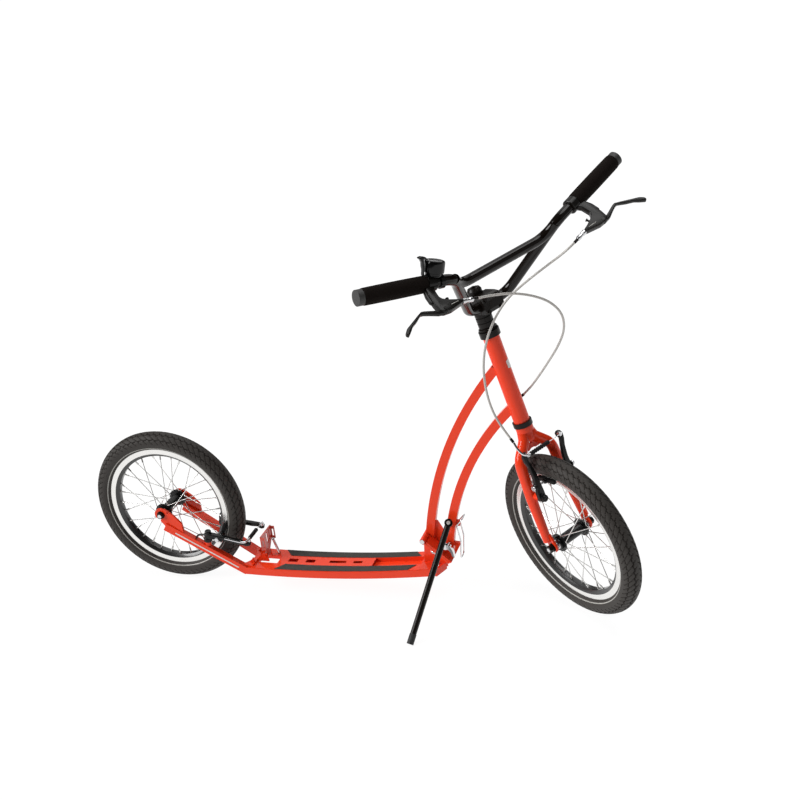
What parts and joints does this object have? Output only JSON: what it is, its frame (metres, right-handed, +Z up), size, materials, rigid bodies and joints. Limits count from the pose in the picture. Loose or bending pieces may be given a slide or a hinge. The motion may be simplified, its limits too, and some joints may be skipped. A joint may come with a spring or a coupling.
{
  "type": "folding kick scooter",
  "caption": "Adult folding kick scooter with a bowed deck on two rails, large spoked wheels, rim brakes on both, a raised handlebar with foam grips, a bell and a side stand.",
  "frame": {"origin": "bottom centre of the bounding box, on the ground", "axes": "+X points forward along the deck, +Y to the rider's left and +Z up"},
  "size_m": [1.3685, 0.5836, 0.9951],
  "materials": {
    "frame_red": "gloss",
    "black_gloss": "gloss",
    "black_satin": "satin",
    "foam": "matte",
    "plug_grey": "satin",
    "tyre_black": "matte",
    "tube_rubber": "matte",
    "rim_silver": "satin",
    "spoke_steel": "polished",
    "hub_black": "satin",
    "steel": "satin",
    "chrome": "polished",
    "grip_tape": "rough",
    "cable_silver": "gloss",
    "brake_black": "satin",
    "bell_black": "gloss",
    "lever_black": "gloss",
    "foot_grey": "matte",
    "catch_metal": "satin",
    "zinc": "satin"
  },
  "bodies": {
    "rear_frame": {"side_rails": "frame_red", "rear_dropouts": "frame_red", "deck_plate": "frame_red", "deck_cover": "frame_red", "grip_tapes": "grip_tape", "rear_bridge": "frame_red", "hinge_riser": "frame_red", "lower_hinge_plate": "frame_red", "hinge_bolts": "zinc", "rear_cable_tail": "brake_black", "rear_axle": "steel", "rear_axle_nuts": "black_satin", "catch_spring": "zinc"},
    "catch": {"catch_plate": "catch_metal"},
    "rear_wheel": {"rear_tyre": "tyre_black", "rear_inner_tube": "tube_rubber", "rear_rim": "rim_silver", "rear_spokes": "spoke_steel", "rear_hub": "hub_black", "rear_bearings": "steel"},
    "rear_arm_left": {"rear_brake_arm_left": "brake_black"},
    "rear_arm_right": {"rear_brake_arm_right": "brake_black"},
    "front_frame": {"head_tube": "frame_red", "rear_curved_tube": "frame_red", "front_curved_tube": "frame_red", "upper_hinge_plate": "frame_red", "latch_bolt": "chrome", "headset_cups": "black_satin", "kickstand_clamp": "chrome"},
    "latch_lever": {"latch_lever": "chrome"},
    "latch_loop": {"latch_loop": "chrome"},
    "kickstand": {"kickstand_leg": "black_satin", "kickstand_foot": "foot_grey"},
    "steering": {"fork_steerer": "frame_red", "fork_blades": "frame_red", "headset_spacers": "black_satin", "stem": "black_satin", "stem_bolts": "black_satin", "steerer_cap": "black_satin", "handlebar": "black_gloss", "grips": "foam", "bar_end_plugs": "plug_grey", "brake_lever_bodies": "lever_black", "bell_bracket": "bell_black", "bell_cup": "bell_black", "front_brake_cable": "cable_silver", "rear_brake_cable": "cable_silver", "front_axle": "steel", "front_axle_nuts": "black_satin"},
    "brake_lever_left": {"brake_lever_left": "lever_black"},
    "brake_lever_right": {"brake_lever_right": "lever_black"},
    "bell_lever": {"bell_lever": "bell_black"},
    "front_arm_left": {"front_brake_arm_left": "brake_black"},
    "front_arm_right": {"front_brake_arm_right": "brake_black"},
    "front_wheel": {"front_tyre": "tyre_black", "front_inner_tube": "tube_rubber", "front_rim": "rim_silver", "front_spokes": "spoke_steel", "front_hub": "hub_black", "front_bearings": "steel"}
  },
  "joints": [
    {"name": "rear_wheel_spin", "type": "hinge", "parent": "rear_frame", "child": "rear_wheel", "pos_m": [-0.48479, 0.09763, 0.1995], "axis": [0, 1, 0], "continuous": true},
    {"name": "front_wheel_spin", "type": "hinge", "parent": "steering", "child": "front_wheel", "pos_m": [0.5152, 0.08139, 0.1974], "axis": [0.5744, 0.8039, 0.1545], "continuous": true},
    {"name": "fold", "type": "hinge", "parent": "rear_frame", "child": "front_frame", "pos_m": [0.17645, 0.09763, 0.16765], "axis": [0, -1, 0], "range_deg": [0, 76]},
    {"name": "steering_turn", "type": "hinge", "parent": "front_frame", "child": "steering", "pos_m": [0.39534, 0.09763, 0.55867], "axis": [-0.2597, 0, 0.9657], "range_deg": [-23.5, 96.5], "deforming": ["rear_brake_cable"]},
    {"name": "kickstand_swing", "type": "hinge", "parent": "front_frame", "child": "kickstand", "pos_m": [0.23921, 0.07263, 0.212], "axis": [-0.2438, 0.7667, -0.5939], "range_deg": [0, 77]},
    {"name": "latch_lever_turn", "type": "hinge", "parent": "front_frame", "child": "latch_lever", "pos_m": [0.22721, 0.07363, 0.153], "axis": [0, -1, 0], "range_deg": [0, 90]},
    {"name": "latch_loop_swing", "type": "hinge", "parent": "front_frame", "child": "latch_loop", "pos_m": [0.25371, 0.09763, 0.2], "axis": [0, -1, 0], "range_deg": [0, 25]},
    {"name": "catch_tilt", "type": "hinge", "parent": "rear_frame", "child": "catch", "pos_m": [-0.24379, 0.09763, 0.078], "axis": [0, 1, 0], "range_deg": [-15, 0], "stiffness_Nm_per_rad": 0.3, "springref_deg": 14.32, "deforming": ["catch_spring"]},
    {"name": "front_brake_pull", "type": "hinge", "parent": "steering", "child": "brake_lever_left", "pos_m": [0.6045, 0.14305, 0.89073], "axis": [0.2787, -0.5321, 0.7995], "range_deg": [0, 20], "stiffness_Nm_per_rad": 0.6, "springref_deg": -8.59},
    {"name": "rear_brake_pull", "type": "hinge", "parent": "steering", "child": "brake_lever_right", "pos_m": [0.3656, -0.19127, 0.8265], "axis": [-0.4443, 0.3003, -0.844], "range_deg": [0, 20], "stiffness_Nm_per_rad": 0.6, "springref_deg": -8.59},
    {"name": "front_arm_left_swing", "type": "hinge", "parent": "steering", "child": "front_arm_left", "pos_m": [0.52084, 0.10962, 0.32732], "axis": [0.7763, -0.5948, 0.2087], "range_deg": [0, 3.8]},
    {"name": "front_arm_right_swing", "type": "hinge", "parent": "steering", "child": "front_arm_right", "pos_m": [0.46799, 0.03567, 0.31311], "axis": [-0.7763, 0.5948, -0.2087], "range_deg": [0, 3.8], "deforming": ["front_brake_cable"]},
    {"name": "rear_arm_left_swing", "type": "hinge", "parent": "rear_frame", "child": "rear_arm_left", "pos_m": [-0.37279, 0.13963, 0.145], "axis": [-0.144, 0, -0.9896], "range_deg": [0, 3.8]},
    {"name": "rear_arm_right_swing", "type": "hinge", "parent": "rear_frame", "child": "rear_arm_right", "pos_m": [-0.37279, 0.05563, 0.145], "axis": [0.144, 0, 0.9896], "range_deg": [0, 3.8], "deforming": ["rear_cable_tail"]},
    {"name": "bell_lever_turn", "type": "hinge", "parent": "steering", "child": "bell_lever", "pos_m": [0.33335, -0.13227, 0.8816], "axis": [-0.0956, 0.1943, 0.9763], "range_deg": [0, 25], "stiffness_Nm_per_rad": 0.03, "springref_deg": -17.19}
  ],
  "couplings": [
    {"joint": "front_arm_left_swing", "follows": "front_brake_pull", "ratio": 0.1875},
    {"joint": "front_arm_right_swing", "follows": "front_brake_pull", "ratio": 0.1875},
    {"joint": "rear_arm_left_swing", "follows": "rear_brake_pull", "ratio": 0.1875},
    {"joint": "rear_arm_right_swing", "follows": "rear_brake_pull", "ratio": 0.1875}
  ]
}
